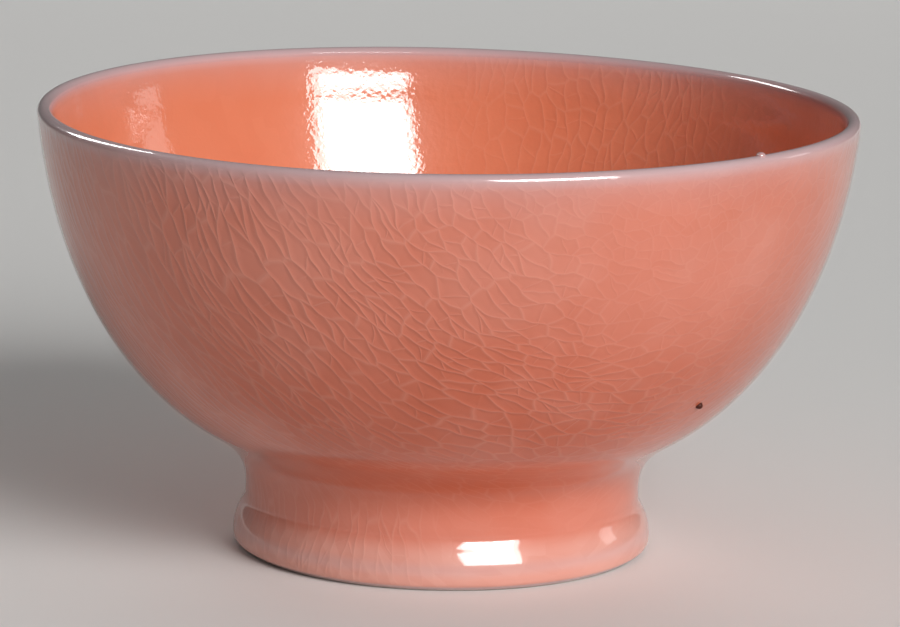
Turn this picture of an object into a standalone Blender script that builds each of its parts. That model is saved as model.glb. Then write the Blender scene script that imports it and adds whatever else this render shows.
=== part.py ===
"""A footed pottery bowl, thrown in clay and covered with a crackled salmon glaze.

The bowl stands on the origin with its axis along +Z.  Units are metres.

The clay is two pieces: the thrown bowl and a flared foot ring that is luted to
it with a ring of slip at the waist.  Three coats of glaze cover the clay: one
inside, one over the lip and down the whole outside, and one in the hollow of
the foot.  The resting edge of the foot stays bare.

Everything is turned about the axis.  One finished outside curve runs from the
foot to the lip, and every wall, coat and gap is a distance measured inward
from that curve, so a change of one size carries through all the pieces.
"""

from math import cos, pi, radians, sin

import bmesh
import bpy
from mathutils import Vector

MM = 0.001

# Finished outside form
RIM_RADIUS = 90.0 * MM
HEIGHT = 98.0 * MM
RIM_LEAN = radians(5.5)            # outward lean of the wall just under the lip
LIP_RADIUS = 1.6 * MM              # half-round of the lip, glaze included
SHOULDER_PULL = 35.7 * MM          # how far the rim's direction carries down the wall
BELLY_PULL = 19.4 * MM             # how far the neck's direction carries up the wall
NECK_RADIUS = 54.1 * MM            # where the hollow above the waist turns into the belly
NECK_HEIGHT = 27.6 * MM
NECK_SLOPE = radians(30.8)         # slope of the belly there, from the horizontal
WAIST_RADIUS = 43.7 * MM           # narrowest place, where the foot is joined on
WAIST_HEIGHT = 12.9 * MM
FOOT_RADIUS = 46.3 * MM            # widest place of the foot's rolled edge
FOOT_ROLL = 4.7 * MM               # radius of that edge below its widest place
FOOT_SWELL = 11.2 * MM             # radius of that edge above it
ROLL_UNDER = radians(50.0)         # how far the roll turns under before the resting flat
ROLL_OVER = radians(23.0)          # how far it turns over before the flare up to the waist
EASE = 0.42                        # share of a short curve's span over which its ends stay straight

# Clay and glaze
WALL_AT_NECK = 7.0 * MM            # wall with both coats, thinning upward to the lip
FLOOR_HEIGHT = 20.0 * MM           # glazed floor at the middle of the bowl
FLOOR_FLAT = 20.0 * MM             # radius of the nearly level middle of the floor
FLOOR_PULL = 18.0 * MM             # how far the wall's slope carries into the floor
FOOT_WALL = 6.5 * MM               # clay of the foot ring at the waist
REST_WIDTH = 4.3 * MM              # bare flat that the bowl stands on
BORE_EDGE = 1.5 * MM               # rounding between that flat and the hollow of the foot
GLAZE = 0.5 * MM
SLIP = 0.6 * MM                    # thickness of the slip between bowl and foot
SEAT = 0.3 * MM                    # clearance between touching pieces
GLAZE_STOP = radians(35.0)         # how far down the foot's roll the outside coat runs
BASE_GLAZE_STOP = 3.0 * MM         # height at which the coat in the foot's hollow ends
BASE_FILLET = 2.0 * MM             # pooled glaze in the corner of the foot's hollow

# Fineness of the turned forms
AROUND = 48
BELLY_STEPS = 8
NECK_STEPS = 3
FLARE_STEPS = 4
ROLL_STEPS = 3
SWELL_STEPS = 2
LIP_STEPS = 6
FLOOR_STEPS = 5
EDGE_STEPS = 3

# Depths below the finished surface
GLAZE_BACK = GLAZE
CLAY_FACE = GLAZE + SEAT

# Heights of the joint at the waist
SEAM_HALF = SLIP / 2 + SEAT
FOOT_TOP = WAIST_HEIGHT - SEAM_HALF
BOWL_BOTTOM = WAIST_HEIGHT + SEAM_HALF


def curve(start, start_arm, end_arm, end, steps, first=0.0, last=1.0):
    """Points and unit directions along a cubic curve, between two shares of its run."""
    a, d = Vector(start), Vector(end)
    b, c = a + Vector(start_arm), d - Vector(end_arm)
    result = []
    for step in range(steps + 1):
        t = first + (last - first) * step / steps
        s = 1 - t
        point = a * s**3 + b * 3 * s * s * t + c * 3 * s * t * t + d * t**3
        direction = (b - a) * s * s + (c - b) * 2 * s * t + (d - c) * t * t
        result.append((point, direction.normalized(), t))
    return result


def sunk(points, depth):
    """Points moved to the left of their direction, which is into the wall going up."""
    result = []
    for point, direction, t in points:
        distance = depth(t) if callable(depth) else depth
        result.append(point + Vector((-direction.y, direction.x)) * distance)
    return result


def arc(centre, radius, start, end, steps):
    """Points along a circle about centre, from one angle to another."""
    angles = [start + (end - start) * step / steps for step in range(steps + 1)]
    return [Vector((centre[0] + radius * cos(a), centre[1] + radius * sin(a))) for a in angles]


def rim_end():
    """Top of the outside wall, where the half-round of the lip begins."""
    return Vector((RIM_RADIUS - LIP_RADIUS * (1 - cos(RIM_LEAN)),
                   HEIGHT - LIP_RADIUS * (1 + sin(RIM_LEAN))))


def wall(t):
    """Finished wall thickness at a share of the belly's run, from neck to lip."""
    return WALL_AT_NECK + (2 * LIP_RADIUS - WALL_AT_NECK) * t


def belly(last=1.0):
    neck_arm = Vector((cos(NECK_SLOPE), sin(NECK_SLOPE))) * BELLY_PULL
    rim_arm = Vector((sin(RIM_LEAN), cos(RIM_LEAN))) * SHOULDER_PULL
    return curve((NECK_RADIUS, NECK_HEIGHT), neck_arm, rim_arm, rim_end(), BELLY_STEPS, last=last)


def neck():
    start = Vector((WAIST_RADIUS, BOWL_BOTTOM))
    end = Vector((NECK_RADIUS, NECK_HEIGHT))
    pull = (end - start).length * EASE
    end_arm = Vector((cos(NECK_SLOPE), sin(NECK_SLOPE))) * pull
    return curve(start, (0, pull), end_arm, end, NECK_STEPS)


def roll_centre():
    """Middle of the foot's rolled edge, set so that the bare clay meets the ground."""
    return Vector((FOOT_RADIUS - FOOT_ROLL, (FOOT_ROLL - CLAY_FACE) * sin(ROLL_UNDER)))


def swell_centre():
    """Middle of the slower curve above the roll, level with the roll's own middle."""
    return roll_centre() + Vector((FOOT_ROLL - FOOT_SWELL, 0.0))


def roll(depth, start):
    """The foot's edge: the tight roll from below, then the slower swell up to the flare."""
    under = arc(roll_centre(), FOOT_ROLL - depth, start, 0.0, ROLL_STEPS)
    return under[:-1] + arc(swell_centre(), FOOT_SWELL - depth, 0.0, ROLL_OVER, SWELL_STEPS)


def flare():
    start = swell_centre() + Vector((cos(ROLL_OVER), sin(ROLL_OVER))) * FOOT_SWELL
    end = Vector((WAIST_RADIUS, FOOT_TOP))
    pull = (end - start).length * EASE
    return curve(start, Vector((-sin(ROLL_OVER), cos(ROLL_OVER))) * pull, (0, pull), end, FLARE_STEPS)


def lip(depth):
    """The lip from outside over to inside, sunk below the finished half-round."""
    inward = Vector((-cos(RIM_LEAN), sin(RIM_LEAN)))
    centre = rim_end() + inward * LIP_RADIUS
    return arc(centre, LIP_RADIUS - depth, -RIM_LEAN, pi - RIM_LEAN, LIP_STEPS)


def floor(depth):
    """The inside floor from the foot of the wall to the axis, sunk below the glaze."""
    point, direction, t = belly()[0]
    start = sunk([(point, direction, t)], wall(t))[0]
    points = curve((0, FLOOR_HEIGHT), (FLOOR_FLAT, 0), direction * FLOOR_PULL, start, FLOOR_STEPS)
    return list(reversed(sunk(points, -depth)))


def inside(depth, last=1.0):
    """The inside of the bowl from the lip down to the axis, sunk below the glaze."""
    side = sunk(belly(last), lambda t: wall(t) - depth)
    return list(reversed(side))[:-1] + floor(depth)


def outside(depth):
    """The outside from the top of the waist up to the lip, sunk below the glaze."""
    return sunk(neck(), depth)[:-1] + sunk(belly(), depth)[:-1]


def rest_outer():
    """Radius at which the roll of the bare clay meets the ground."""
    return roll_centre().x + (FOOT_ROLL - CLAY_FACE) * cos(ROLL_UNDER)


def bore(height, inset=0.0):
    """A point on the tapering wall of the foot's hollow, or set in from that wall."""
    top = WAIST_RADIUS - CLAY_FACE - FOOT_WALL
    mouth = rest_outer() - REST_WIDTH - BORE_EDGE
    share = (height - BORE_EDGE) / (FOOT_TOP - BORE_EDGE)
    return Vector((mouth + (top - mouth) * share - inset, height))


def principled(name, colour, roughness):
    material = bpy.data.materials.new(name)
    material.use_nodes = True
    shader = material.node_tree.nodes["Principled BSDF"]
    shader.inputs["Base Color"].default_value = (*colour, 1.0)
    shader.inputs["Roughness"].default_value = roughness
    shader.inputs["Metallic"].default_value = 0.0
    material.diffuse_color = (*colour, 1.0)
    return material


def turned(name, outline, material, parent):
    """A solid turned about the axis from an outline that ends on it or closes on itself."""
    mesh = bpy.data.meshes.new(name)
    shape = bmesh.new()
    corners = [shape.verts.new((point.x, 0.0, point.y)) for point in outline]
    sides = [shape.edges.new(pair) for pair in zip(corners, corners[1:])]
    on_axis = outline[0].x == 0.0 and outline[-1].x == 0.0
    if not on_axis:
        sides.append(shape.edges.new((corners[-1], corners[0])))
    bmesh.ops.spin(shape, geom=corners + sides, cent=(0, 0, 0), axis=(0, 0, 1),
                   angle=2 * pi, steps=AROUND, use_merge=True)
    bmesh.ops.remove_doubles(shape, verts=shape.verts, dist=0.000001)
    bmesh.ops.recalc_face_normals(shape, faces=shape.faces)
    shape.to_mesh(mesh)
    shape.free()
    mesh.materials.append(material)
    mesh.shade_smooth()
    mesh.set_sharp_from_angle(angle=radians(40))
    piece = bpy.data.objects.new(name, mesh)
    piece.parent = parent
    bpy.context.scene.collection.objects.link(piece)
    return piece


def bowl_body(parent):
    """The thrown bowl: a flat underside, a thinning wall, a half-round lip and a floor."""
    outline = [Vector((0.0, BOWL_BOTTOM))]
    outline += outside(CLAY_FACE)
    outline += lip(CLAY_FACE)[:-1]
    outline += inside(CLAY_FACE)
    return turned("bowl_body", outline, principled("fired_clay", (0.62, 0.42, 0.35), 0.75), parent)


def foot_ring(parent):
    """The flared foot: a rolled outer edge, a bare resting flat and a widening hollow."""
    edge_start = bore(BORE_EDGE)
    outline = roll(CLAY_FACE, -ROLL_UNDER)[:-1]
    outline += sunk(flare(), CLAY_FACE)
    outline.append(bore(FOOT_TOP))
    outline += arc((edge_start.x + BORE_EDGE, BORE_EDGE), BORE_EDGE, pi, 1.5 * pi, EDGE_STEPS)
    return turned("foot_ring", outline, principled("foot_clay", (0.62, 0.42, 0.35), 0.8), parent)


def slip_joint(parent):
    """The ring of slip that lutes the foot to the bowl, rounded where it was wiped."""
    half = SLIP / 2
    outer = WAIST_RADIUS - CLAY_FACE - half
    inner = bore(FOOT_TOP).x + half
    outline = arc((outer, WAIST_HEIGHT), half, -pi / 2, pi / 2, EDGE_STEPS)
    outline += arc((inner, WAIST_HEIGHT), half, pi / 2, 1.5 * pi, EDGE_STEPS)
    return turned("slip_joint", outline, principled("slip", (0.55, 0.36, 0.30), 0.8), parent)


def outer_glaze(parent):
    """The coat over the lip and down the outside, ending on the roll of the foot."""
    face = roll(0.0, -GLAZE_STOP)[:-1] + sunk(flare(), 0.0) + outside(0.0) + lip(0.0)
    back = roll(GLAZE_BACK, -GLAZE_STOP)[:-1] + sunk(flare(), GLAZE_BACK)
    back += outside(GLAZE_BACK) + lip(GLAZE_BACK)
    outline = face + list(reversed(back))
    return turned("outer_glaze", outline, principled("salmon_glaze", (0.72, 0.27, 0.19), 0.12), parent)


def inner_glaze(parent):
    """The coat inside, meeting the outer one just under the lip."""
    last = 1.0 - SEAT / (3 * SHOULDER_PULL)
    outline = list(reversed(inside(0.0, last))) + inside(GLAZE_BACK, last)
    return turned("inner_glaze", outline, principled("inner_salmon_glaze", (0.74, 0.25, 0.16), 0.12), parent)


def base_glaze(parent):
    """The coat in the hollow of the foot, across the underside and down the bore."""
    top = BOWL_BOTTOM - SEAT
    ceiling = top - GLAZE
    bend = bore(ceiling - BASE_FILLET, SEAT + GLAZE).x - BASE_FILLET
    outline = [Vector((0.0, ceiling))]
    outline += arc((bend, ceiling - BASE_FILLET), BASE_FILLET, pi / 2, 0.0, EDGE_STEPS)
    outline.append(bore(BASE_GLAZE_STOP, SEAT + GLAZE))
    outline.append(bore(BASE_GLAZE_STOP, SEAT))
    outline.append(bore(top, SEAT))
    outline.append(Vector((0.0, top)))
    return turned("base_glaze", outline, principled("base_salmon_glaze", (0.70, 0.30, 0.22), 0.2), parent)


def main():
    for old in list(bpy.data.objects):
        bpy.data.objects.remove(old, do_unlink=True)
    stand = bpy.data.objects.new("bowl_axis", None)
    bpy.context.scene.collection.objects.link(stand)
    for make in (bowl_body, foot_ring, slip_joint, outer_glaze, inner_glaze, base_glaze):
        make(stand)


main()
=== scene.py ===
"""Looks of a footed pottery bowl under a crackled salmon glaze.

Each clay piece and each coat of glaze is turned again as a smooth form in the
place of its solid, with the small unevenness of hand throwing.  The glaze is
thin and pale over the lip and along the roll of the foot, and a network of
fine cracks runs through it.  Lengths are metres unless a name says otherwise.
"""

from collections import namedtuple
from math import atan2, cos, exp, hypot, pi, radians, sin

import bmesh
import bpy
from mathutils import Matrix, Quaternion, Vector


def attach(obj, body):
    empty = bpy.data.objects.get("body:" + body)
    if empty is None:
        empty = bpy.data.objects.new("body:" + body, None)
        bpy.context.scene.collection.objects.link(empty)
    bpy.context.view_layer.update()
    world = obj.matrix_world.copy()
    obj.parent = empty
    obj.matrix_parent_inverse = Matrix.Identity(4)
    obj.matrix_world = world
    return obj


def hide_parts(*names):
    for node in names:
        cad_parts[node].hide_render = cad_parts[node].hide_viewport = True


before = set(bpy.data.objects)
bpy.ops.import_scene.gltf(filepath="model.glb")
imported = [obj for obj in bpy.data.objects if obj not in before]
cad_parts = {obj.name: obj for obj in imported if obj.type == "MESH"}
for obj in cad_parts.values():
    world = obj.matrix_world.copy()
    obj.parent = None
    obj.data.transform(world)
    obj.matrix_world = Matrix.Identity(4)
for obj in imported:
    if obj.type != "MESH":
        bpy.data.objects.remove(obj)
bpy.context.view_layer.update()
MM = 0.001

# Finished outside form, as the solids have it
RIM_RADIUS = 90.0 * MM
HEIGHT = 98.0 * MM
RIM_LEAN = radians(5.5)
LIP_RADIUS = 1.6 * MM
SHOULDER_PULL = 35.7 * MM
BELLY_PULL = 19.4 * MM
NECK_RADIUS = 54.1 * MM
NECK_HEIGHT = 27.6 * MM
NECK_SLOPE = radians(30.8)
WAIST_RADIUS = 43.7 * MM
WAIST_HEIGHT = 12.9 * MM
FOOT_RADIUS = 46.3 * MM
FOOT_ROLL = 4.7 * MM
FOOT_SWELL = 11.2 * MM
ROLL_UNDER = radians(50.0)
ROLL_OVER = radians(23.0)
EASE = 0.42

# Clay, glaze and the clearance between them
WALL_AT_NECK = 7.0 * MM
FLOOR_HEIGHT = 20.0 * MM
FLOOR_FLAT = 20.0 * MM
FLOOR_PULL = 18.0 * MM
FOOT_WALL = 6.5 * MM
REST_WIDTH = 4.3 * MM
BORE_EDGE = 1.5 * MM
GLAZE = 0.5 * MM
SLIP = 0.6 * MM
SEAT = 0.3 * MM
BASE_GLAZE_STOP = 3.0 * MM
BASE_FILLET = 2.0 * MM
CLAY_FACE = GLAZE + SEAT
SEAM_HALF = SLIP / 2 + SEAT
FOOT_TOP = WAIST_HEIGHT - SEAM_HALF
BOWL_BOTTOM = WAIST_HEIGHT + SEAM_HALF
COATS_MEET = 1.0 - SEAT / (3 * SHOULDER_PULL)

# Where the outside coat thins out to an edge under the roll of the foot
GLAZE_THINS = radians(16.0)
GLAZE_STOP = radians(42.0)
GLAZE_EDGE = 0.06 * MM

# The pale line where the glaze has drawn away above the foot's widest part
FOOT_LINE = 1.9 * MM
FOOT_LINE_SPREAD = 1.5 * MM

# How the glaze runs off the lip, in millimetres below it
LIP_CROWN = 1.9                    # bare and pale about this far down
LIP_TAIL = 4.6                     # then fading over this length
LIP_TAIL_SHARE = 0.60              # from this share of the crown's thinness

# Fineness of the smooth forms
AROUND = 256
AROUND_HIDDEN = 96
BELLY_STEPS = 64
NECK_STEPS = 16
FLARE_STEPS = 14
ROLL_STEPS = 12
SWELL_STEPS = 8
LIP_STEPS = 16
FLOOR_STEPS = 32
EDGE_STEPS = 8

# Unevenness of hand throwing
RIM_SADDLE = 0.41 * MM             # the rim rises and falls twice in a turn
WANDER = 0.05 * MM                 # slow swelling and sinking of the wall
RING_PITCH = 8.5 * MM
MARK_HEIGHT = 89.0 * MM            # one deeper wheel mark inside, under the rim
MARK_SPREAD = 2.4 * MM
SEAM_SWELL = 0.08 * MM             # the luted joint shows through the glaze
SEAM_SPREAD = 0.7 * MM

# Depths of the wheel rings and of that mark, for each kind of surface
Thrown = namedtuple("Thrown", "rings mark")
OUTSIDE = Thrown(0.010 * MM, 0.0)
INSIDE = Thrown(0.020 * MM, 0.10 * MM)
SMOOTH = Thrown(0.0, 0.0)

# A bead of glaze that stands on the lip, turning right from the front
BEAD_TURN = radians(47.0)
BEAD_RADIUS = 1.0 * MM

# The crackle, in millimetres on the wall laid flat
CRACK_RADIUS = 80.0                # the belly is unrolled at this radius
CRACK_EYE = (45.0, 137.0)          # on the belly the cracks run in rounds about this spot
CRACK_REACH = 70.0                 # and their cells are true to scale this far from it
CRACK_WIDTH = 0.25                 # half of a crack's breadth
RIDGE_WIDTH = 0.95                 # how far to each side the glaze rises to a crack
RIDGE_HEIGHT = 0.15
BACK_SHIFT = 300.0                 # sets the cells of the back apart from those of the front
CRACK_SHOWS = 0.17                 # how far a crack takes on its own colour
FOOT_LONG = 6.0                    # the foot's cells are this many times as long as broad
INSIDE_LONG = 2.6                  # and so are those up the right side inside

# The clear glass over the colour of the glaze
COAT_IOR = 1.58
COAT_ROUGHNESS = 0.05
UNDER_COAT_SHINE = 0.1

# The iron speck on the belly, a small blister
SPECK_PLACE = Vector((54.3, -43.7, 41.5)) * MM
SPECK_RADIUS = 0.80 * MM

# Colours
PALE_GLAZE = (0.61, 0.44, 0.455, 1)
IRON = (0.045, 0.012, 0.008, 1)
PAPER = (0.78, 0.77, 0.75, 1)

# The studio
FLOOR_REACH = 6.0
AIM_HEIGHT = 0.06                  # the lamps point at this height on the axis
WORLD_STRENGTH = 0.13

# The view, as far as the photograph gives it
PHOTO_WIDTH = 900
FOCAL_PIXELS = 5000
CAMERA_DISTANCE = 1081.9 * MM
CAMERA_HEIGHT = 268.1 * MM
CAMERA_YAW = radians(0.055)
CAMERA_PITCH = radians(11.31)
CAMERA_ROLL = radians(1.123)

# What a point of an outline carries into the glaze: the way along the wall in
# millimetres, how thin the glaze lies there and how dry
Mark = namedtuple("Mark", "run thin dry")
PLAIN = Mark(0.0, 0.0, 0.0)


def ease_in(value, low, high):
    t = min(max((value - low) / (high - low), 0.0), 1.0)
    return t * t * (3 - 2 * t)


def curve(start, start_arm, end_arm, end, steps, first=0.0, last=1.0):
    """Points, unit directions and shares of the run along a cubic curve."""
    a, d = Vector(start), Vector(end)
    b, c = a + Vector(start_arm), d - Vector(end_arm)
    result = []
    for step in range(steps + 1):
        t = first + (last - first) * step / steps
        s = 1 - t
        point = a * s**3 + b * 3 * s * s * t + c * 3 * s * t * t + d * t**3
        direction = (b - a) * s * s + (c - b) * 2 * s * t + (d - c) * t * t
        result.append((point, direction.normalized(), t))
    return result


def sunk(points, depth):
    """Points moved to the left of their direction, which is into the wall going up."""
    result = []
    for point, direction, t in points:
        distance = depth(t) if callable(depth) else depth
        result.append(point + Vector((-direction.y, direction.x)) * distance)
    return result


def arc(centre, radius, start, end, steps):
    """Points along a circle, or along a spiral where the radius goes by the angle."""
    result = []
    for step in range(steps + 1):
        angle = start + (end - start) * step / steps
        reach = radius(angle) if callable(radius) else radius
        result.append(Vector((centre[0] + reach * cos(angle), centre[1] + reach * sin(angle))))
    return result


def rim_end():
    return Vector((RIM_RADIUS - LIP_RADIUS * (1 - cos(RIM_LEAN)),
                   HEIGHT - LIP_RADIUS * (1 + sin(RIM_LEAN))))


def wall(t):
    return WALL_AT_NECK + (2 * LIP_RADIUS - WALL_AT_NECK) * t


def belly(last=1.0):
    neck_arm = Vector((cos(NECK_SLOPE), sin(NECK_SLOPE))) * BELLY_PULL
    rim_arm = Vector((sin(RIM_LEAN), cos(RIM_LEAN))) * SHOULDER_PULL
    return curve((NECK_RADIUS, NECK_HEIGHT), neck_arm, rim_arm, rim_end(), BELLY_STEPS, last=last)


def neck():
    start = Vector((WAIST_RADIUS, BOWL_BOTTOM))
    end = Vector((NECK_RADIUS, NECK_HEIGHT))
    pull = (end - start).length * EASE
    end_arm = Vector((cos(NECK_SLOPE), sin(NECK_SLOPE))) * pull
    return curve(start, (0, pull), end_arm, end, NECK_STEPS)


def roll_centre():
    return Vector((FOOT_RADIUS - FOOT_ROLL, (FOOT_ROLL - CLAY_FACE) * sin(ROLL_UNDER)))


def swell_centre():
    return roll_centre() + Vector((FOOT_ROLL - FOOT_SWELL, 0.0))


def roll(depth, start):
    """The foot's edge: the tight roll from below, then the slower swell up to the flare."""
    under = arc(roll_centre(), lambda angle: FOOT_ROLL - depth(angle), start, 0.0, ROLL_STEPS)
    return under[:-1] + arc(swell_centre(), FOOT_SWELL - depth(0.0), 0.0, ROLL_OVER, SWELL_STEPS)


def coat_face(angle):
    """Depth of the outside coat's face round the roll, sinking to the clay at its edge."""
    return (CLAY_FACE - GLAZE_EDGE) * ease_in(-angle, GLAZE_THINS, GLAZE_STOP)


def coat_back(angle):
    return max(GLAZE, coat_face(angle) + GLAZE_EDGE / 2)


def flare():
    start = swell_centre() + Vector((cos(ROLL_OVER), sin(ROLL_OVER))) * FOOT_SWELL
    end = Vector((WAIST_RADIUS, FOOT_TOP))
    pull = (end - start).length * EASE
    return curve(start, Vector((-sin(ROLL_OVER), cos(ROLL_OVER))) * pull, (0, pull), end, FLARE_STEPS)


def lip(depth):
    inward = Vector((-cos(RIM_LEAN), sin(RIM_LEAN)))
    centre = rim_end() + inward * LIP_RADIUS
    return arc(centre, LIP_RADIUS - depth, -RIM_LEAN, pi - RIM_LEAN, LIP_STEPS)


def floor(depth):
    point, direction, t = belly()[0]
    start = sunk([(point, direction, t)], wall(t))[0]
    points = curve((0, FLOOR_HEIGHT), (FLOOR_FLAT, 0), direction * FLOOR_PULL, start, FLOOR_STEPS)
    return list(reversed(sunk(points, -depth)))


def inside(depth, last=1.0):
    side = sunk(belly(last), lambda t: wall(t) - depth)
    return list(reversed(side))[:-1] + floor(depth)


def outside(depth):
    return sunk(neck(), depth)[:-1] + sunk(belly(), depth)[:-1]


def rest_outer():
    return roll_centre().x + (FOOT_ROLL - CLAY_FACE) * cos(ROLL_UNDER)


def bore(height, inset=0.0):
    top = WAIST_RADIUS - CLAY_FACE - FOOT_WALL
    mouth = rest_outer() - REST_WIDTH - BORE_EDGE
    share = (height - BORE_EDGE) / (FOOT_TOP - BORE_EDGE)
    return Vector((mouth + (top - mouth) * share - inset, height))


def hand_thrown(place, thrown):
    """Where a point of the perfect turned form lies on the real, slightly uneven bowl."""
    radius = hypot(place.x, place.y)
    if radius < 0.1 * MM:
        return place
    turn = atan2(place.x, -place.y)
    up = ease_in(place.z, WAIST_HEIGHT, HEIGHT)
    lift = RIM_SADDLE * sin(2 * turn) * up
    slow = sin(3 * turn + 1.0 + place.z / (30 * MM)) + 0.6 * sin(5 * turn + 2.4 - place.z / (22 * MM))
    climb = place.z / RING_PITCH
    rings = sin(2 * pi * climb + turn) * (0.6 + 0.4 * sin(2.3 * climb + 1.7 * sin(turn)))
    rings *= ease_in(place.z, NECK_HEIGHT * 0.7, NECK_HEIGHT * 1.3)
    seam = SEAM_SWELL * exp(-((place.z - WAIST_HEIGHT) / SEAM_SPREAD) ** 2)
    mark = thrown.mark * exp(-((place.z - MARK_HEIGHT) / MARK_SPREAD) ** 2)
    grown = 1 + (WANDER * up * slow + thrown.rings * rings + seam - mark) / radius
    return Vector((place.x * grown, place.y * grown, place.z + lift))


def turned(name, outline, marks, around, thrown, material, node):
    """A smooth solid turned from an outline, standing in for its node."""
    shape = bmesh.new()
    layers = [shape.verts.layers.float.new(word) for word in Mark._fields]
    corners = []
    for point, mark in zip(outline, marks):
        corner = shape.verts.new((0.0, point.x, point.y))
        for layer, value in zip(layers, mark):
            corner[layer] = value
        corners.append(corner)
    sides = [shape.edges.new(pair) for pair in zip(corners, corners[1:])]
    if outline[0].x > 0.0:
        sides.append(shape.edges.new((corners[-1], corners[0])))
    bmesh.ops.spin(shape, geom=corners + sides, cent=(0, 0, 0), axis=(0, 0, 1),
                   angle=2 * pi, steps=around, use_merge=True)
    bmesh.ops.remove_doubles(shape, verts=shape.verts, dist=0.000001)
    bmesh.ops.recalc_face_normals(shape, faces=shape.faces)
    for corner in shape.verts:
        corner.co = hand_thrown(corner.co, thrown)
    return placed(name, shape, material, node)


def placed(name, shape, material, node=None):
    mesh = bpy.data.meshes.new(name)
    shape.to_mesh(mesh)
    shape.free()
    mesh.materials.append(material)
    mesh.shade_smooth()
    mesh.set_sharp_from_angle(angle=radians(50))
    piece = bpy.data.objects.new(name, mesh)
    bpy.context.scene.collection.objects.link(piece)
    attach(piece, "root")
    if node:
        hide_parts(node)
    return piece


def marked(points, thin):
    """The marks of an outline: the way along it, and how thin and dry the glaze lies."""
    run, result = 0.0, []
    for index, point in enumerate(points):
        if index:
            run += (point - points[index - 1]).length
        result.append(Mark(run / MM, thin(point), lip_dryness(point)))
    return result


def lip_thinness(point):
    """How far the glaze has run off the lip: most on its crown, gone some way below."""
    below = (HEIGHT - point.y) / MM
    crown = exp(-((below / LIP_CROWN) ** 2))
    return crown + (1 - crown) * LIP_TAIL_SHARE * exp(-below / LIP_TAIL)


def lip_dryness(point):
    """The inner edge of the lip is dry, where the glaze has run off it."""
    inward = (RIM_RADIUS - LIP_RADIUS - point.x) / LIP_RADIUS
    up = ease_in(point.y, HEIGHT - 2.0 * LIP_RADIUS, HEIGHT - 1.2 * LIP_RADIUS)
    return ease_in(inward, 0.86, 0.94) * up


def outside_thinness(point):
    """Thin on the lip, in a pale line above the widest part of the foot, and at the edge under it."""
    off_line = (point.y - roll_centre().y - FOOT_LINE) / FOOT_LINE_SPREAD
    on_line = 0.32 * exp(-off_line * off_line) if point.y < FOOT_TOP else 0.0
    under = atan2(roll_centre().y - point.y, point.x - roll_centre().x)
    on_edge = 0.75 * ease_in(under, GLAZE_THINS, 0.85 * GLAZE_STOP) if point.y < roll_centre().y else 0.0
    return max(lip_thinness(point), on_line, on_edge)


def outer_glaze(material):
    face = roll(coat_face, -GLAZE_STOP)[:-1] + sunk(flare(), 0.0) + outside(0.0) + lip(0.0)
    back = roll(coat_back, -GLAZE_STOP)[:-1] + sunk(flare(), GLAZE) + outside(GLAZE) + lip(GLAZE)
    face.append(inside(0.0, COATS_MEET)[0])
    back.append(inside(GLAZE, COATS_MEET)[0])
    marks = marked(face, outside_thinness)
    return turned("glaze_outside", face + back[::-1], marks + marks[::-1], AROUND, OUTSIDE,
                  material, "outer_glaze")


def inner_glaze(material):
    face = inside(0.0, COATS_MEET)[::-1]
    back = inside(GLAZE, COATS_MEET)
    marks = marked(face, lip_thinness)
    return turned("glaze_inside", face + back, marks + marks[::-1], AROUND, INSIDE,
                  material, "inner_glaze")


def base_glaze(material):
    """The coat in the hollow of the foot, thinning out to an edge on the bare clay."""
    top = BOWL_BOTTOM - SEAT
    ceiling = top - GLAZE
    bend = bore(ceiling - BASE_FILLET, SEAT + GLAZE).x - BASE_FILLET
    face = [Vector((bend * step / FLOOR_STEPS, ceiling)) for step in range(FLOOR_STEPS)]
    face += arc((bend, ceiling - BASE_FILLET), BASE_FILLET, pi / 2, 0.0, EDGE_STEPS)
    face += [bore(BASE_GLAZE_STOP + 2 * MM, SEAT + GLAZE),
             bore(BASE_GLAZE_STOP + 0.7 * MM, SEAT + 0.8 * GLAZE),
             bore(BASE_GLAZE_STOP, GLAZE_EDGE)]
    back = [bore(BASE_GLAZE_STOP + 1 * MM, GLAZE_EDGE), bore(top, SEAT), Vector((0.0, top))]
    marks = marked(face, lambda point: 0.0)
    marks += [marks[-1], marks[-1], marks[0]]
    return turned("glaze_in_foot", face + back, marks, AROUND, SMOOTH,
                  material, "base_glaze")


def bowl_body(material):
    outline = [Vector((0.0, BOWL_BOTTOM))] + outside(CLAY_FACE) + lip(CLAY_FACE)[:-1] + inside(CLAY_FACE)
    return turned("clay_bowl", outline, [PLAIN] * len(outline), AROUND_HIDDEN, SMOOTH,
                  material, "bowl_body")


def foot_ring(material):
    edge_start = bore(BORE_EDGE)
    outline = roll(lambda angle: CLAY_FACE, -ROLL_UNDER)[:-1] + sunk(flare(), CLAY_FACE)
    outline.append(bore(FOOT_TOP))
    outline += arc((edge_start.x + BORE_EDGE, BORE_EDGE), BORE_EDGE, pi, 1.5 * pi, EDGE_STEPS)
    return turned("clay_foot", outline, [PLAIN] * len(outline), AROUND, SMOOTH,
                  material, "foot_ring")


def slip_joint(material):
    half = SLIP / 2
    outer = WAIST_RADIUS - CLAY_FACE - half
    inner = bore(FOOT_TOP).x + half
    outline = arc((outer, WAIST_HEIGHT), half, -pi / 2, pi / 2, EDGE_STEPS)
    outline += arc((inner, WAIST_HEIGHT), half, pi / 2, 1.5 * pi, EDGE_STEPS)
    return turned("luting_slip", outline, [PLAIN] * len(outline), AROUND_HIDDEN, SMOOTH,
                  material, "slip_joint")


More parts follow.
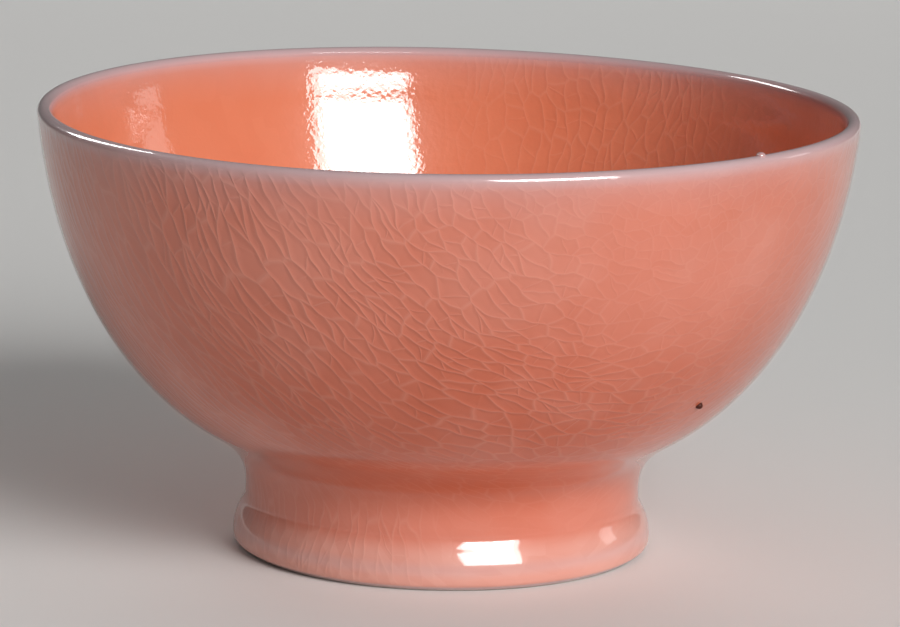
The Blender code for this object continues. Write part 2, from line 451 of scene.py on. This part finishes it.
def blister(name, foot, radius, stretch, thinness, material):
    """A small swelling of glaze that stands half out of the coat."""
    shape = bmesh.new()
    thin = shape.verts.layers.float.new("thin")
    bmesh.ops.create_uvsphere(shape, u_segments=24, v_segments=16, radius=radius)
    for corner in shape.verts:
        corner[thin] = thinness
    bmesh.ops.scale(shape, vec=stretch, verts=shape.verts)
    bmesh.ops.translate(shape, vec=foot, verts=shape.verts)
    return placed(name, shape, material)


def lip_bead(material):
    crown = RIM_RADIUS - LIP_RADIUS
    foot = hand_thrown(Vector((crown * sin(BEAD_TURN), -crown * cos(BEAD_TURN), HEIGHT)), SMOOTH)
    return blister("glaze_bead", foot, BEAD_RADIUS, (1.0, 1.0, 0.7), 0.8, material)


def iron_speck(material):
    return blister("iron_speck", SPECK_PLACE, SPECK_RADIUS, (1.0, 0.9, 0.85), 0.0, material)


class Tree:
    """Short words for building a node tree."""

    def __init__(self, tree):
        self.tree = tree

    def node(self, kind, *inputs, **settings):
        made = self.tree.nodes.new(kind if kind.startswith("NodeGroup") else "ShaderNode" + kind)
        for key, value in settings.items():
            setattr(made, key, value)
        for index, value in enumerate(inputs):
            self.feed(made.inputs[index], value)
        return made

    def feed(self, socket, value):
        if isinstance(value, bpy.types.NodeSocket):
            self.tree.links.new(value, socket)
        else:
            socket.default_value = value

    def math(self, operation, *inputs):
        return self.node("Math", *inputs, operation=operation).outputs[0]

    def vector(self, operation, *inputs):
        made = self.node("VectorMath", *inputs, operation=operation)
        return made.outputs["Value" if operation in ("LENGTH", "DISTANCE") else "Vector"]

    def scaled(self, vector, scale):
        made = self.node("VectorMath", vector, operation="SCALE")
        self.feed(made.inputs["Scale"], scale)
        return made.outputs["Vector"]

    def joined(self, x, y, z=0.0):
        return self.node("CombineXYZ", x, y, z).outputs[0]

    def parts(self, vector):
        return self.node("SeparateXYZ", vector).outputs

    def range(self, value, low, high, start=0.0, end=1.0, kind="SMOOTHSTEP"):
        made = self.node("MapRange", value, low, high, start, end, interpolation_type=kind)
        return made.outputs["Result"]

    def mix(self, share, first, second):
        made = self.node("Mix", data_type="RGBA")
        for index, value in ((0, share), (6, first), (7, second)):
            self.feed(made.inputs[index], value)
        return made.outputs[2]

    def noise(self, place, scale, detail=2.0, dimensions="3D"):
        made = self.node("TexNoise", noise_dimensions=dimensions)
        self.feed(made.inputs["Vector"], place)
        made.inputs["Scale"].default_value = scale
        made.inputs["Detail"].default_value = detail
        return made.outputs

    def cells(self, place, scale, feature):
        made = self.node("TexVoronoi", voronoi_dimensions="2D", feature=feature)
        self.feed(made.inputs["Vector"], place)
        made.inputs["Scale"].default_value = scale
        return made.outputs

    def chance(self, *parts):
        """A steady random value and colour for one to three numbers."""
        spot = self.joined(*(list(parts) + [0.0] * (3 - len(parts))))
        return self.node("TexWhiteNoise", spot, noise_dimensions="3D").outputs

    def attribute(self, word):
        return self.node("Attribute", attribute_name=word).outputs["Fac"]


def crackle_group():
    """Fine cracks in a glaze, which rises to a low ridge along them.

    Place is a spot on the wall laid flat, in millimetres, its first part along
    the cells.  Cell is how broad they are and Long their length over that.  Long
    cracks part the cells, and in some cells a later crack runs across.  Line is
    1 on a crack, Ridge is how far the glaze has risen, and Tone differs by cell.
    """
    group = bpy.data.node_groups.new("crackle", "ShaderNodeTree")
    group.interface.new_socket("Place", in_out="INPUT", socket_type="NodeSocketVector")
    for name in ("Cell", "Long"):
        group.interface.new_socket(name, in_out="INPUT", socket_type="NodeSocketFloat")
    for name in ("Line", "Ridge", "Tone"):
        group.interface.new_socket(name, in_out="OUTPUT", socket_type="NodeSocketFloat")
    t = Tree(group)
    given = t.node("NodeGroupInput").outputs
    middle = (0.5, 0.5, 0.5)

    swing = t.vector("SUBTRACT", t.noise(given["Place"], 0.05, 0.0, "2D")["Color"], middle)
    shiver = t.vector("SUBTRACT", t.noise(given["Place"], 0.28, 0.0, "2D")["Color"], middle)
    bent = t.vector("ADD", given["Place"], t.scaled(swing, 5.0))
    bent = t.vector("ADD", bent, t.scaled(shiver, 0.9))
    length = t.math("MULTIPLY", given["Cell"], given["Long"])
    spot = t.vector("DIVIDE", bent, t.joined(length, given["Cell"], 1.0))
    gap = t.math("MULTIPLY", t.cells(spot, 1.0, "DISTANCE_TO_EDGE")["Distance"], given["Cell"])
    nearest = t.cells(spot, 1.0, "F1")
    own = t.node("SeparateColor", nearest["Color"]).outputs

    along, across = t.parts(t.vector("SUBTRACT", spot, nearest["Position"]))[:2]
    slant = t.math("MULTIPLY", t.math("SUBTRACT", own[1], 0.5), across)
    off_middle = t.math("MULTIPLY", t.math("SUBTRACT", own[0], 0.5), 0.5)
    rung_gap = t.math("ABSOLUTE", t.math("ADD", t.math("ADD", along, off_middle), slant))
    rung_gap = t.math("MULTIPLY", rung_gap, length)
    rung_bold = t.range(own[2], 0.25, 0.6, 0.0, 0.75, "LINEAR")

    def by_gap(width, power):
        """1 on a crack, falling to 0 at this distance to its sides."""
        falls = [t.range(way, 0.0, width, 1.0, 0.0, "LINEAR") for way in (gap, rung_gap)]
        main, rung = (t.math("POWER", fall, power) for fall in falls)
        return t.math("MAXIMUM", main, t.math("MULTIPLY", rung, rung_bold))

    out = t.node("NodeGroupOutput")
    t.feed(out.inputs["Line"], by_gap(CRACK_WIDTH, 1.0))
    t.feed(out.inputs["Ridge"], by_gap(RIDGE_WIDTH, 2.0))
    t.feed(out.inputs["Tone"], own[0])
    return group


def about_eye(t, turn, run):
    """A face of the belly laid flat: the way round the eye of the cracks first, the way out from it next."""
    aside = t.math("SUBTRACT", t.math("MULTIPLY", turn, CRACK_RADIUS), CRACK_EYE[0])
    below = t.math("SUBTRACT", CRACK_EYE[1], run)
    away = t.vector("LENGTH", t.joined(aside, below))
    return t.joined(t.math("MULTIPLY", t.math("ARCTAN2", aside, below), CRACK_REACH), away)


def spread_out(t, place, run):
    """The inside laid flat like a plate, in millimetres from the middle of the floor."""
    x, y = t.parts(place)[:2]
    return t.scaled(t.vector("NORMALIZE", t.joined(x, y)), run)


def material(name):
    made = bpy.data.materials.new(name)
    made.use_nodes = True
    return made, Tree(made.node_tree), made.node_tree.nodes["Principled BSDF"]


# deep is the colour of darker cells and of the painted shade low down; pink that of random blush and of the
# paler foot, which is partly painted sheen
GlazeLook = namedtuple("GlazeLook", "body deep pink crack cell long peel ripple")


def cracked(t, crackle, place, cell, long):
    """The outputs of the crackle for a place on a wall laid flat."""
    made = t.node("Group", node_tree=crackle)
    for word, value in (("Place", place), ("Cell", cell), ("Long", long)):
        t.feed(made.inputs[word], value)
    return made.outputs


def outside_cracks(t, crackle, look, place, run):
    """Line, ridge and tone of the outside: cells in rounds on the belly, upright ones on the foot."""
    x, y, z = t.parts(place)
    from_front = t.math("ARCTAN2", x, t.math("MULTIPLY", y, -1.0))
    from_back = t.math("ARCTAN2", t.math("MULTIPLY", x, -1.0), y)
    in_front = t.math("MULTIPLY", t.range(from_front, radians(-95), radians(-65)),
                      t.range(from_front, radians(100), radians(130), 1.0, 0.0))
    behind = t.math("SUBTRACT", 1.0, in_front)
    front_cracks = cracked(t, crackle, about_eye(t, from_front, run), look.cell, look.long)
    back_place = t.vector("ADD", about_eye(t, from_back, run), (BACK_SHIFT, 0.0, 0.0))
    back_cracks = cracked(t, crackle, back_place, look.cell, look.long)
    upright = t.joined(run, t.math("MULTIPLY", from_front, FOOT_RADIUS / MM))
    foot_cracks = cracked(t, crackle, upright, look.cell, FOOT_LONG)
    on_foot = t.range(z, 0.85 * NECK_HEIGHT, 0.9 * WAIST_HEIGHT)
    patchy = t.range(t.noise(place, 22.0, 1.0)["Fac"], 0.34, 0.56, 0.65, 1.0)
    calm_side = t.math("ADD", t.math("MULTIPLY", x, 0.75), t.math("MULTIPLY", z, 0.66))
    belly_bold = t.math("MULTIPLY", patchy, t.range(calm_side, 0.3 * RIM_RADIUS, RIM_RADIUS, 1.0, 0.5))
    foot_bold = t.math("MULTIPLY", on_foot, t.range(x, -0.25 * FOOT_RADIUS, 0.1 * FOOT_RADIUS, 0.55, 0.04))
    foot_bold = t.math("MULTIPLY", foot_bold, in_front)
    result = []
    for word, gone, full, foot_share in (("Line", 0.3 * NECK_HEIGHT, 1.35 * NECK_HEIGHT, 1.8),
                                         ("Ridge", 0.95 * NECK_HEIGHT, 1.45 * NECK_HEIGHT, 0.6)):
        up_belly = t.math("MULTIPLY", belly_bold, t.range(z, gone, full))
        on_belly = t.math("MAXIMUM", t.math("MULTIPLY", front_cracks[word], in_front),
                          t.math("MULTIPLY", back_cracks[word], behind))
        on_foot_too = t.math("MULTIPLY", foot_cracks[word], t.math("MULTIPLY", foot_bold, foot_share))
        result.append(t.math("MAXIMUM", t.math("MULTIPLY", on_belly, up_belly), on_foot_too))
    return result + [front_cracks["Tone"]]


def inside_cracks(t, crackle, look, place, run):
    """Line, ridge and tone of a hollow: upright cells up its right side, fainter plates elsewhere."""
    x, y, z = t.parts(place)
    plates = cracked(t, crackle, spread_out(t, place, run), look.cell, look.long)
    turn = t.math("MULTIPLY", t.math("ARCTAN2", y, x), CRACK_RADIUS)
    upright = cracked(t, crackle, t.joined(run, turn), 0.7 * look.cell, INSIDE_LONG)
    to_right = t.math("ADD", t.math("MULTIPLY", x, 0.90), t.math("MULTIPLY", y, 0.43))
    bold = t.math("MULTIPLY", t.range(to_right, 0.28 * RIM_RADIUS, 0.70 * RIM_RADIUS),
                  t.range(to_right, 0.82 * RIM_RADIUS, 0.97 * RIM_RADIUS, 1.0, 0.25))
    bold = t.math("MULTIPLY", bold, t.range(z, 0.45 * HEIGHT, 0.6 * HEIGHT))
    faint = t.math("SUBTRACT", t.range(z, 0.45 * HEIGHT, 0.6 * HEIGHT, 0.3, 0.05), bold)
    result = []
    for word, share in (("Line", 1.0), ("Ridge", 0.45)):
        value = t.math("MAXIMUM", t.math("MULTIPLY", upright[word], bold),
                       t.math("MULTIPLY", plates[word], faint))
        result.append(t.math("MULTIPLY", value, share))
    return result + [plates["Tone"]]


def glaze_finish(name, crackle, look, round_wall):
    """Glossy glaze: slow drifts of colour, painted shade low on the belly and inside, a paler foot partly
    from painted sheen, pale where thin, with cracks that catch the light.
    """
    made, t, shader = material(name)
    place = t.node("TexCoord").outputs["Object"]
    z = t.parts(place)[2]
    run, thin, dry = (t.attribute(word) for word in Mark._fields)
    cracks = outside_cracks if round_wall else inside_cracks
    line, ridge, tone = cracks(t, crackle, look, place, run)

    drift = t.noise(place, 24.0, 2.0)["Fac"]
    blush = t.noise(place, 38.0, 2.0)["Fac"]
    # Painted shade: the glaze is mixed toward its deep colour low on the belly and low inside, where shade
    # falls, with slow random drifts of colour on top
    painted_shade_and_drift = t.math("MULTIPLY", t.range(z, 0.8 * HEIGHT, 0.35 * HEIGHT), t.range(z, FOOT_TOP, NECK_HEIGHT))
    painted_shade_and_drift = t.math("ADD", t.math("MULTIPLY", painted_shade_and_drift, 0.85), t.range(drift, 0.38, 0.66, 0.0, 0.3))
    base = t.mix(painted_shade_and_drift, look.body, look.deep)
    # The foot is mixed toward pale pink: partly the foot's own paler glaze, partly a painted sheen of the
    # key light
    on_foot = t.range(z, FOOT_TOP, 0.58 * FOOT_TOP, 0.0, 0.85)
    base = t.mix(t.math("ADD", on_foot, t.range(blush, 0.45, 0.72, 0.0, 0.16)), base, look.pink)
    base = t.mix(t.range(tone, 0.0, 1.0, 0.0, 0.12, "LINEAR"), base, look.deep)
    thinned = t.math("ADD", thin, t.math("MULTIPLY", t.math("SUBTRACT", blush, 0.5), 0.12))
    base = t.mix(t.range(thinned, 0.05, 1.0, 0.0, 0.95, "LINEAR"), base, PALE_GLAZE)
    under_thin = t.range(thin, 0.3, 0.95, 1.0, 0.15)
    base = t.mix(t.math("MULTIPLY", t.math("MULTIPLY", line, under_thin), CRACK_SHOWS), base, look.crack)
    rough = t.math("ADD", t.range(line, 0.0, 1.0, 0.30, 0.40, "LINEAR"), t.math("MULTIPLY", dry, 0.3))
    clear = t.math("SUBTRACT", 1.0, dry)
    if round_wall:
        away = t.vector("DISTANCE", place, tuple(SPECK_PLACE))
        speck = t.range(away, SPECK_RADIUS * 1.02, SPECK_RADIUS * 1.25, 0.95, 0.0)
        base = t.mix(speck, base, IRON)
        rough = t.math("MAXIMUM", rough, t.math("MULTIPLY", speck, 0.7))
        clear = t.math("MINIMUM", clear, t.math("SUBTRACT", 1.0, speck))
    t.feed(shader.inputs["Base Color"], base)
    t.feed(shader.inputs["Roughness"], rough)
    t.feed(shader.inputs["Coat Weight"], clear)
    shader.inputs["Specular IOR Level"].default_value = UNDER_COAT_SHINE
    shader.inputs["Coat Roughness"].default_value = COAT_ROUGHNESS
    shader.inputs["Coat IOR"].default_value = COAT_IOR

    ripple = t.math("MULTIPLY", t.noise(place, look.peel, 1.0)["Fac"], look.ripple)
    if not round_wall:
        off_mark = t.math("ABSOLUTE", t.math("SUBTRACT", z, MARK_HEIGHT - 0.7 * MARK_SPREAD))
        ripple = t.math("MULTIPLY", ripple, t.range(off_mark, 0.0, MARK_SPREAD, 1.3, 1.0))
        ripple = t.math("MULTIPLY", ripple, t.range(z, 0.35 * HEIGHT, 0.65 * HEIGHT, 0.25, 1.0))
    risen = t.math("MULTIPLY", t.math("MULTIPLY", ridge, under_thin), RIDGE_HEIGHT)
    for socket, height in (("Coat Normal", ripple), ("Normal", t.math("ADD", ripple, risen))):
        bump = t.node("Bump")
        bump.inputs["Strength"].default_value = 1.0
        bump.inputs["Distance"].default_value = MM
        t.feed(bump.inputs["Height"], height)
        t.feed(shader.inputs[socket], bump.outputs[0])
    return made


def clay_finish(name, colour, dark):
    """Bare fired clay: a dry, gritty, slightly stained surface."""
    made, t, shader = material(name)
    place = t.node("TexCoord").outputs["Object"]
    stain = t.noise(place, 60.0, 4.0)["Fac"]
    grit = t.noise(place, 1500.0, 2.0)["Fac"]
    base = t.mix(t.range(stain, 0.35, 0.7), colour, dark)
    base = t.mix(t.range(grit, 0.58, 0.72, 0.0, 0.5), base, dark)
    t.feed(shader.inputs["Base Color"], base)
    t.feed(shader.inputs["Roughness"], t.range(grit, 0.3, 0.7, 0.75, 0.92))
    bump = t.node("Bump")
    bump.inputs["Strength"].default_value = 0.6
    bump.inputs["Distance"].default_value = 0.06 * MM
    t.feed(bump.inputs["Height"], grit)
    t.feed(shader.inputs["Normal"], bump.outputs[0])
    return made


def make_bowl():
    crackle = crackle_group()
    outer = glaze_finish("salmon_glaze_outside", crackle, GlazeLook(
        body=(0.72, 0.225, 0.148, 1), deep=(0.56, 0.112, 0.046, 1), pink=(0.79, 0.39, 0.315, 1),
        crack=(0.88, 0.48, 0.38, 1), cell=2.7, long=2.8, peel=200.0, ripple=0.010), True)
    inner = glaze_finish("salmon_glaze_inside", crackle, GlazeLook(
        body=(0.83, 0.25, 0.130, 1), deep=(0.72, 0.17, 0.075, 1), pink=(0.80, 0.265, 0.16, 1),
        crack=(0.90, 0.42, 0.29, 1), cell=4.6, long=1.0, peel=900.0, ripple=0.030), False)
    under = glaze_finish("salmon_glaze_in_foot", crackle, GlazeLook(
        body=(0.71, 0.23, 0.15, 1), deep=(0.66, 0.18, 0.10, 1), pink=(0.73, 0.27, 0.20, 1),
        crack=(0.86, 0.46, 0.36, 1), cell=4.6, long=1.0, peel=200.0, ripple=0.010), False)
    clay = clay_finish("fired_clay", (0.52, 0.44, 0.40, 1), (0.40, 0.31, 0.27, 1))
    slip = clay_finish("luting_slip_clay", (0.46, 0.34, 0.29, 1), (0.34, 0.24, 0.20, 1))
    outer_glaze(outer)
    inner_glaze(inner)
    base_glaze(under)
    bowl_body(clay)
    foot_ring(clay)
    slip_joint(slip)
    lip_bead(outer)
    iron_speck(outer)


def make_stage():
    """A wide, plain floor of pale paper, clear from below so that the foot can be seen."""
    shape = bmesh.new()
    bmesh.ops.create_circle(shape, cap_ends=True, segments=96, radius=FLOOR_REACH)
    bmesh.ops.recalc_face_normals(shape, faces=shape.faces)
    mesh = bpy.data.meshes.new("paper_floor")
    shape.to_mesh(mesh)
    shape.free()
    made, t, shader = material("pale_paper")
    shader.inputs["Base Color"].default_value = PAPER
    shader.inputs["Roughness"].default_value = 0.9
    below = t.node("NewGeometry").outputs["Backfacing"]
    finish = t.node("MixShader", below, shader.outputs[0], t.node("BsdfTransparent").outputs[0])
    t.feed(made.node_tree.nodes["Material Output"].inputs["Surface"], finish.outputs[0])
    mesh.materials.append(made)
    floor_sheet = bpy.data.objects.new("paper_floor", mesh)
    bpy.context.scene.collection.objects.link(floor_sheet)


def soft_light(name, turn, rise, away, size, radiance, yaw=0.0, lights=True, shines=True):
    """A flat soft light: turn is to the right of the camera's side, rise is above level.

    Yaw swings its left edge back.  One that doesn't light only shows as a highlight,
    and one that doesn't shine shows none.
    """
    lamp = bpy.data.lights.new(name, "AREA")
    lamp.shape = "RECTANGLE"
    lamp.size, lamp.size_y = size
    lamp.energy = radiance * pi * size[0] * size[1]
    toward = Vector((sin(turn) * cos(rise), -cos(turn) * cos(rise), sin(rise)))
    made = bpy.data.objects.new(name, lamp)
    made.location = Vector((0, 0, AIM_HEIGHT)) + toward * away
    made.rotation_euler = (toward.to_track_quat("Z", "Y") @ Quaternion((0, 1, 0), yaw)).to_euler()
    made.visible_camera = False
    made.visible_diffuse = lights
    made.visible_glossy = shines
    bpy.context.scene.collection.objects.link(made)
    return made


def make_light():
    glint = dict(turn=radians(27.1), rise=radians(26.3), yaw=radians(25.0), lights=False)
    soft_light("key_softbox", turn=radians(36), rise=radians(27), away=5.00, size=(2.82, 2.36),
               radiance=10.5, shines=False)
    soft_light("key_glint_edge", away=1.35, size=(0.84, 0.64), radiance=11.0, **glint)
    soft_light("key_glint", away=1.33, size=(0.68, 0.52), radiance=20.0, **glint)
    soft_light("side_card", turn=radians(108), rise=radians(13), away=0.90, size=(0.17, 0.20),
               radiance=1.6, lights=False)
    soft_light("back_softbox", turn=radians(-129), rise=radians(33), away=1.00, size=(0.20, 0.45),
               radiance=14.0, lights=False)
    soft_light("back_fill", turn=radians(180), rise=radians(18), away=2.80, size=(1.80, 1.10),
               radiance=3.8, shines=False)
    world = bpy.data.worlds.new("studio")
    world.use_nodes = True
    ground = world.node_tree.nodes["Background"]
    ground.inputs["Color"].default_value = (1.0, 1.0, 1.0, 1)
    ground.inputs["Strength"].default_value = WORLD_STRENGTH
    bpy.context.scene.world = world


def make_camera():
    lens = bpy.data.cameras.new("camera")
    lens.sensor_width = 36.0
    lens.lens = FOCAL_PIXELS / PHOTO_WIDTH * lens.sensor_width
    lens.clip_end = 20.0
    level = cos(CAMERA_PITCH)
    forward = Vector((sin(CAMERA_YAW) * level, cos(CAMERA_YAW) * level, -sin(CAMERA_PITCH)))
    right = Vector((cos(CAMERA_YAW), -sin(CAMERA_YAW), 0.0))
    up = right.cross(forward)
    tilted_right = right * cos(CAMERA_ROLL) + up * sin(CAMERA_ROLL)
    tilted_up = up * cos(CAMERA_ROLL) - right * sin(CAMERA_ROLL)
    pose = Matrix((tilted_right, tilted_up, -forward)).transposed().to_4x4()
    pose.translation = (0.0, -CAMERA_DISTANCE, CAMERA_HEIGHT)
    camera = bpy.data.objects.new("camera", lens)
    camera.matrix_world = pose
    bpy.context.scene.collection.objects.link(camera)
    bpy.context.scene.camera = camera


make_bowl()
make_stage()
make_light()
make_camera()
bpy.context.scene.view_settings.view_transform = "Standard"
